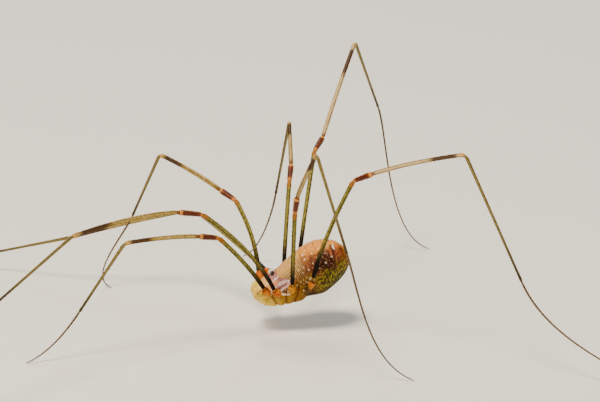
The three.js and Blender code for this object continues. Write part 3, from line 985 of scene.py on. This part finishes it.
def leg_form(name):
    centre, joint, base, length = leg_path(name)
    along, side, up = leg_frames(centre, STANCE[name]["joints"][0][0])
    radius = girth(joint, base / length, PAIRS[name[1]]["thick"])
    rings = np.where(joint == 5, FOOT_RINGS["depth"] * np.cos(2 * math.pi * base / FOOT_RINGS["step"]), 0)
    ridge = np.isin(joint, (1, 2, 3)) * RIDGE
    turn = full_turn(LEG_SIDES)
    reach = radius[:, None] * ((1 + rings)[:, None] - ridge[:, None] * np.cos(4 * turn)[None, :])
    out = around(turn[None, :], up[:, None], side[:, None])
    points = centre[:, None] + reach[..., None] * out
    return {
        "centre": centre, "joint": joint, "base": base, "length": length, "radius": radius,
        "along": along, "side": side, "up": up, "turn": turn, "points": points,
    }


def leg_bristles(clump, form, slot):
    for name, (rows, step, long, radius, lean) in BRISTLES.items():
        own = np.flatnonzero(form["joint"] == JOINT_NAMES.index(name))
        base, length = form["base"][own], form["length"][own][0]
        count = int((length - sum(BRISTLE_ENDS)) / step)
        if count < 1:
            continue
        for row in range(rows):
            shifts = np.arange(count) + RANDOM.uniform(-0.3, 0.3, count) + 0.3 * row
            wanted = BRISTLE_ENDS[0] + shifts * step
            wanted = wanted[wanted < length - BRISTLE_ENDS[1]]
            index = own[np.searchsorted(base, wanted).clip(0, len(own) - 1)]
            turns = (row / rows) * 2 * math.pi + RANDOM.normal(0, 0.12, len(index))
            out = around(turns, form["up"][index], form["side"][index])
            root = form["centre"][index] + out * form["radius"][index][:, None]
            way = unit(out + form["along"][index] * lean)
            lengths = long * RANDOM.uniform(0.75, 1.2, len(index))
            keep = root[:, 2] > BRISTLE_FLOOR
            clump.add_spines(root[keep], way[keep], lengths[keep], radius, slot, sink=0.03)


def leg_marks(form, pair):
    """Values at each point of the leg's skin, its two end points last."""
    rings, sides = form["points"].shape[:2]
    base, length = np.repeat(form["base"], sides), np.repeat(form["length"], sides)
    turn = np.tile(form["turn"], rings)
    marks = {
        "base": base,
        "past_dark": base - PAIRS[pair]["dark"],
        "tip": length - base,
        "share": base / length,
        "pair": np.full(rings * sides, float(pair)),
        "round": np.stack([np.cos(turn), np.sin(turn), base], axis=1),
    }
    return {key: np.concatenate([values, values[:1], values[-1:]]) for key, values in marks.items()}


def leg(name, paints):
    form = leg_form(name)
    rings, sides = form["points"].shape[:2]
    skin = np.vstack([form["points"].reshape(-1, 3), form["centre"][:1], form["centre"][-1:]])
    slots = [int(form["joint"][i]) for i in range(rings - 1) for _ in range(sides)]
    slots += [0] * sides + [5] * sides
    clump = Clump()
    clump.add(skin, ring_faces(rings, sides), slots)
    leg_bristles(clump, form, len(JOINT_NAMES))
    points = clump.all_points()
    marks = {"place": skin, **leg_marks(form, name[1])}
    for key, values in marks.items():
        rest = np.zeros((len(points) - len(skin), *values.shape[1:]))
        marks[key] = np.concatenate([values, rest])
    piece = mesh_piece(f"leg_{name}", points, clump.faces, paints, marks, clump.slots)
    settle(piece, "femur", *[f"leg_{name}_{joint}" for joint in JOINT_NAMES])


def trochanter_paint():
    paint = Paint("trochanter_paint", "bc4c00", 0.38, 0.05)
    paint.layer("c08400", paint.span("pair", 2.4, 2.6), paint.fall("pair", 3.4, 3.6), 0.9)
    paint.speckle("c07c00", 2.2, 0.42, 0.6, 0.7)
    paint.speckle("a85000", 6.0, 0.5, 0.64, 0.6)
    paint.speckle("ffc880", 12.0, 0.6, 0.7, 0.6)
    paint.layer("2a0e06", paint.span("share", 0.82, 0.97), 0.9)
    return paint.grained(20.0, 0.02, 0.05)


def femur_paint():
    paint = Paint("femur_paint", "76702a", 0.42, 0.08)
    paint.speckle("928a34", 4.0, 0.44, 0.64, 0.7)
    paint.speckle("b89c50", 9.0, 0.5, 0.64, 0.5)
    paint.stripes("1c0c06", 0.92, 0.1)
    paint.layer("180a04", paint.fall(paint.cells(5.4), 0.16, 0.36), 0.9)
    past_dark = paint.wander("past_dark", paint.noise(2.0, 2), 0.8)
    paint.layer("281206", paint.fall(past_dark, 0.2, 1.8), 0.7)
    paint.layer("0e0403", paint.fall(past_dark, -0.5, 0.8))
    paint.layer("a4601c", paint.fall("tip", 0.2, 0.7), 0.8)
    return paint.grained(24.0, 0.02)


def patella_paint():
    paint = Paint("patella_paint", "4a1a0a", 0.34, 0.2)
    paint.speckle("6e2e10", 5.0, 0.44, 0.62, 0.7)
    # Pale lines along the patella's ridges, painted highlight.
    paint.stripes("a86c30", 0.5, 0.7)
    paint.layer("d8923c", paint.fall("tip", 0.12, 0.34), 0.9)
    paint.layer("d08434", paint.fall("base", 0.1, 0.4), 0.9)
    return paint.grained(24.0, 0.02)


def tibia_paint():
    paint = Paint("tibia_paint", "a08842", 0.42, 0.1)
    paint.layer("d6bc8a", paint.span("pair", 2.5, 4.0), 0.85)
    paint.speckle("d8ba80", 4.0, 0.45, 0.66, 0.5)
    paint.speckle("8a6028", 8.0, 0.52, 0.66, 0.5)
    paint.stripes("42200c", 0.8, 0.3)
    share = paint.wander("share", paint.noise(3.0, 2), 0.06)
    paint.layer("32120a", paint.span(share, 0.6, 0.7), paint.fall(share, 0.9, 0.95), 0.9)
    paint.layer("5e3014", paint.fall("base", 0.1, 0.5), 0.8)
    paint.layer("cf9a4a", paint.fall("tip", 0.1, 0.4), 0.8)
    return paint.grained(24.0, 0.02)


def metatarsus_paint():
    paint = Paint("metatarsus_paint", "7a6a36", 0.42, 0.12)
    paint.speckle("948052", 5.0, 0.45, 0.66, 0.7)
    paint.stripes("221a0c", 0.8, 0.3)
    paint.layer("241a10", paint.span("share", 0.5, 1.0), 0.8)
    return paint.grained(24.0, 0.015)


def tarsus_paint():
    paint = Paint("tarsus_paint", "5e4a2e", 0.5, 0.15)
    paint.speckle("7e6a4c", 6.0, 0.4, 0.7, 0.7)
    turn = paint.math("MULTIPLY", "base", 2 * math.pi / FOOT_RINGS["step"])
    paint.layer("32281a", paint.span(paint.math("COSINE", turn), 0.2, -0.95), 0.7)
    return paint.grained(30.0, 0.01)


def bristle_paint():
    paint = Paint("bristle_paint", "2e2016", 0.4)
    paint.speckle("4a3424", 3.0, 0.4, 0.7, 0.6)
    return paint.done()


def legs():
    paints = [
        trochanter_paint(), femur_paint(), patella_paint(), tibia_paint(),
        metatarsus_paint(), tarsus_paint(), bristle_paint(),
    ]
    for name in STANCE:
        leg(name, paints)


# Head


def mound_paint():
    paint = Paint("mound_paint", "f6efdc", 0.22, 0.3)
    paint.speckle("caa37c", 7.0, 0.5, 0.66, 0.5)
    paint.layer("8e5a46", paint.fall(paint.mark_axis("place", "Z"), 1.04, 1.2), 0.9)
    return paint.grained(20.0, 0.02, 0.05)


def eye_mound():
    at, half = np.array(MOUND["at"]), np.array(MOUND["half"])
    clump = Clump()
    clump.add(*ellipsoid(at, half, 48, 28))
    clump.add(*ellipsoid(at - (0, 0, MOUND_FOOT["drop"]), MOUND_FOOT["half"], 48, 28))
    count = TEETH["count"]
    for side in (-1, 1):
        share = np.linspace(-TEETH["reach"], TEETH["reach"], count)
        flank = np.full(count, side * TEETH["side"] / half[1])
        out = np.stack([share, flank, np.sqrt(1 - share**2 - flank**2)], axis=1)
        lengths = np.full(count, TEETH["length"])
        clump.add_spines(at + out * half, unit(out / half), lengths, TEETH["radius"], sides=8, sink=0.02)
    points = clump.all_points()
    piece = mesh_piece("mound", to_model(points), clump.faces, [mound_paint()], {"place": points})
    settle(piece, "eye_mound", "eye_mound")


def eyes():
    for side, word in ((-1, "left"), (1, "right")):
        points, faces = ellipsoid(np.array(EYE["at"]) * (1, side, 1), [EYE["radius"]] * 3)
        paint = Paint(f"eye_{word}_paint", "050404", 0.04, 0.8)
        paint.speckle("140c0a", 8.0, 0.4, 0.7, 0.6)
        piece = mesh_piece(f"{word}_eye", to_model(points), faces, [paint.done()], {"place": points})
        settle(piece, "eye", f"eye_{word}")


def claw_paint():
    paint = Paint("mouth_paint", "eecb44", 0.34, 0.14)
    paint.speckle("f8dc84", 3.4, 0.45, 0.62, 0.7)
    paint.speckle("ac721c", 7.0, 0.55, 0.66, 0.55)
    paint.speckle("6a3810", 16.0, 0.62, 0.7, 0.6)
    return paint.grained(22.0, 0.02, 0.08)


def feeler_paint():
    paint = Paint("palp_paint", "eac63c", 0.34, 0.14)
    paint.speckle("f4d878", 3.0, 0.45, 0.6, 0.6)
    paint.speckle("b07a1c", 6.0, 0.56, 0.68, 0.5)
    paint.speckle("5a2c10", 14.0, 0.6, 0.7, 0.5)
    return paint.grained(22.0, 0.02, 0.08)


def mouth_hairs(clump, line, radii):
    """Short hairs that lean toward the tip."""
    count = MOUTH_HAIRS["count"]
    along = unit(np.gradient(line, axis=0))
    picks = RANDOM.integers(len(line) // 4, len(line) - 3, count)
    turns = RANDOM.uniform(0, 2 * math.pi, count)
    across = unit(np.cross(along[picks], (0, 1, 0)))
    other = np.cross(across, along[picks])
    out = around(turns, across, other)
    roots = line[picks] + out * radii[picks][:, None]
    ways = unit(out + along[picks] * MOUTH_HAIRS["lean"])
    lengths = RANDOM.uniform(*MOUTH_HAIRS["length"], count)
    clump.add_spines(roots, ways, lengths, MOUTH_HAIRS["radius"], 1, sink=0.02)


def mouth_part(spec, mirror, name, node, paints):
    count = spec["count"]
    line = even_line(np.array(spec["line"]) * mirror, count)
    stops = np.array(spec["radii"])
    radii = np.interp(np.linspace(0, 1, count), stops[:, 0], stops[:, 1])
    clump = Clump()
    clump.add(*tube(line, radii, MOUTH_SIDES))
    mouth_hairs(clump, line, radii)
    points = clump.all_points()
    piece = mesh_piece(name, to_model(points), clump.faces, paints, {"place": points}, clump.slots)
    settle(piece, "mouth_parts", node)


def mouth():
    claw, feeler, bristle = claw_paint(), feeler_paint(), bristle_paint()
    for side, word in ((-1, "left"), (1, "right")):
        mirror = np.array([1, side, 1])
        mouth_part(CHELICERA, mirror, f"mouth_claw_{word}", f"chelicera_{word}", [claw, bristle])
        mouth_part(PEDIPALP, mirror, f"feeler_{word}", f"pedipalp_{word}", [feeler, bristle])


camera()
studio()
floor()
body()
legs()
eye_mound()
eyes()
mouth()
